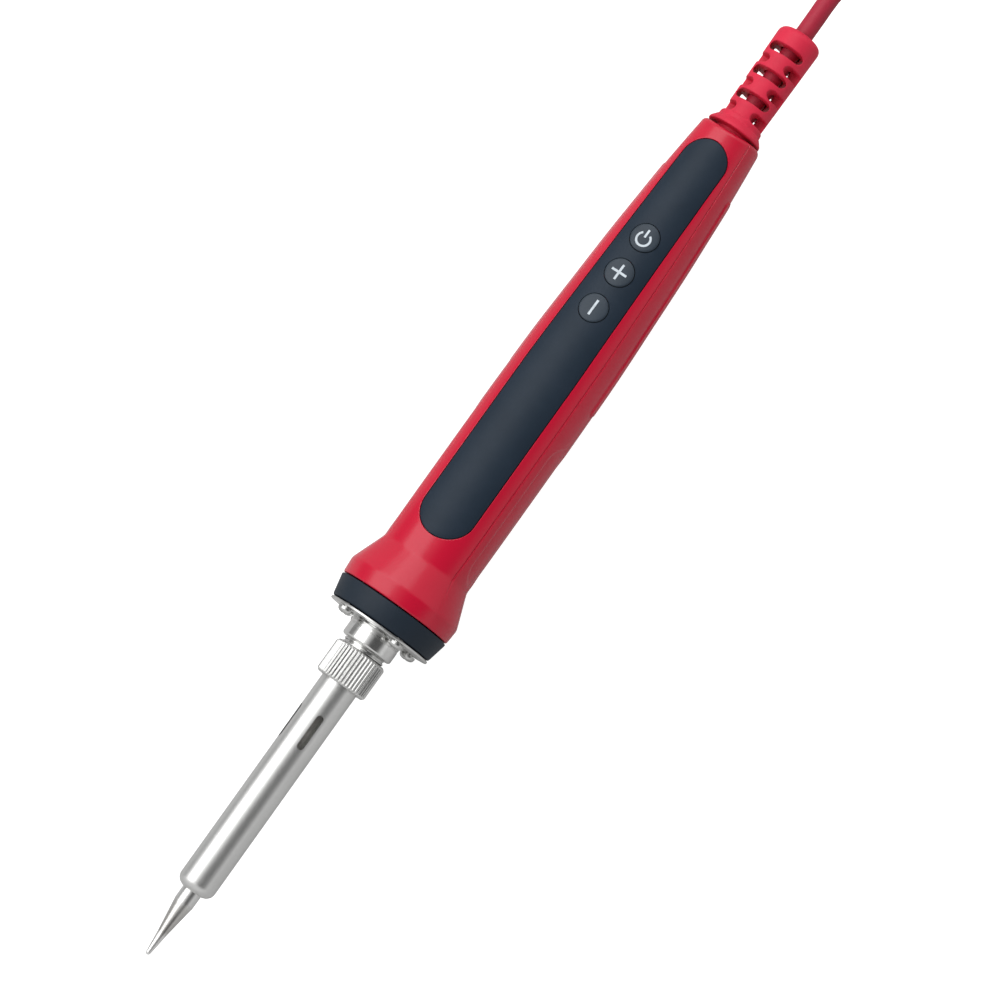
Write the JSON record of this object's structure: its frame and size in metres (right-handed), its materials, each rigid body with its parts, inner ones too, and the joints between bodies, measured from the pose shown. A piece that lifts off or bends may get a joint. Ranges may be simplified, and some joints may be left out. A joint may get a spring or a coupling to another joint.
{
  "type": "soldering iron",
  "caption": "Handheld electric soldering iron: conical tip in a slotted steel barrel with a knurled nut, crimson two-shell handle with a keypad panel, and a corded plug.",
  "frame": {"origin": "middle of the iron's length without its free cord, on the bench that the handle's flange rests on", "axes": "+X from the tip towards the cord, +Z out of the control panel"},
  "size_m": [0.416, 0.0459, 0.0313],
  "materials": {
    "red_plastic": "glossy moulded crimson",
    "red_rubber": "matte crimson",
    "cord_sheath": "matte dark crimson",
    "slate_plastic": "soft-touch slate",
    "button_plastic": "soft-touch grey",
    "black_plastic": "matte black",
    "brushed_steel": "satin",
    "polished_steel": "polished",
    "tip_plating": "plated, tinned at its point",
    "brass": "plain",
    "ceramic": "fired",
    "board_green": "solder mask",
    "lead_sleeve": "woven glass sleeve",
    "conductor_brown": "insulated",
    "conductor_blue": "insulated",
    "tie_fabric": "hook-and-loop strap",
    "tact_plastic": "matte",
    "capacitor_film": "boxed film",
    "legend_ink": "pale key legends"
  },
  "bodies": {
    "handle": {"handle_upper_shell": "red_plastic", "handle_lower_shell": "red_plastic", "control_panel": "slate_plastic", "front_cap": "slate_plastic", "front_plate": "brushed_steel", "heater_collar": "polished_steel", "heater_rod": "ceramic", "heater_base": "ceramic", "circuit_board": "board_green", "display_module": "black_plastic", "controller_chip": "black_plastic", "triac": "black_plastic", "filter_capacitor": "capacitor_film", "cord_clamp": "black_plastic", "strain_relief_boot": "red_rubber", "inner_cord": "cord_sheath", "cord_conductor_1": "conductor_brown", "cord_conductor_2": "conductor_blue", "power_cord": "cord_sheath", "cord_hank": "cord_sheath", "cord_tail": "cord_sheath", "cord_tie": "tie_fabric", "plug_body": "black_plastic", "plug_blade_1": "brass", "plug_blade_2": "brass", "plate_screw_1": "polished_steel", "plate_screw_2": "polished_steel", "plate_screw_3": "polished_steel", "plate_screw_4": "polished_steel", "case_screw_1": "polished_steel", "board_screw_1": "polished_steel", "clamp_screw_1": "polished_steel", "heater_lead_1": "lead_sleeve", "sensor_lead_1": "lead_sleeve", "case_screw_2": "polished_steel", "board_screw_2": "polished_steel", "clamp_screw_2": "polished_steel", "heater_lead_2": "lead_sleeve", "sensor_lead_2": "lead_sleeve", "minus_switch": "tact_plastic", "plus_switch": "tact_plastic", "power_switch": "tact_plastic"},
    "minus_button": {"minus_button": "button_plastic", "minus_switch_plunger": "button_plastic"},
    "plus_button": {"plus_button": "button_plastic", "plus_switch_plunger": "button_plastic"},
    "power_button": {"power_button": "button_plastic", "power_switch_plunger": "button_plastic"},
    "tip": {"soldering_tip": "tip_plating"},
    "barrel": {"barrel_sleeve": "brushed_steel"},
    "nut": {"retaining_nut": "polished_steel"}
  },
  "joints": [
    {"name": "minus_press", "type": "slide", "parent": "handle", "child": "minus_button", "axis": [0, 0, -1], "range_m": [0, 0.0005], "stiffness_N_per_m": 800},
    {"name": "plus_press", "type": "slide", "parent": "handle", "child": "plus_button", "axis": [0, 0, -1], "range_m": [0, 0.0005], "stiffness_N_per_m": 800},
    {"name": "power_press", "type": "slide", "parent": "handle", "child": "power_button", "axis": [0, 0, -1], "range_m": [0, 0.0005], "stiffness_N_per_m": 800},
    {"name": "tip_pull", "type": "slide", "parent": "handle", "child": "tip", "axis": [-1, 0, 0], "range_m": [0, 0.03]},
    {"name": "barrel_pull", "type": "slide", "parent": "tip", "child": "barrel", "axis": [-1, 0, 0], "range_m": [0, 0.09]},
    {"name": "nut_turn", "type": "hinge", "parent": "barrel", "child": "nut", "pos_m": [-0.0538, 0, 0.01565], "axis": [1, 0, 0], "continuous": true}
  ]
}
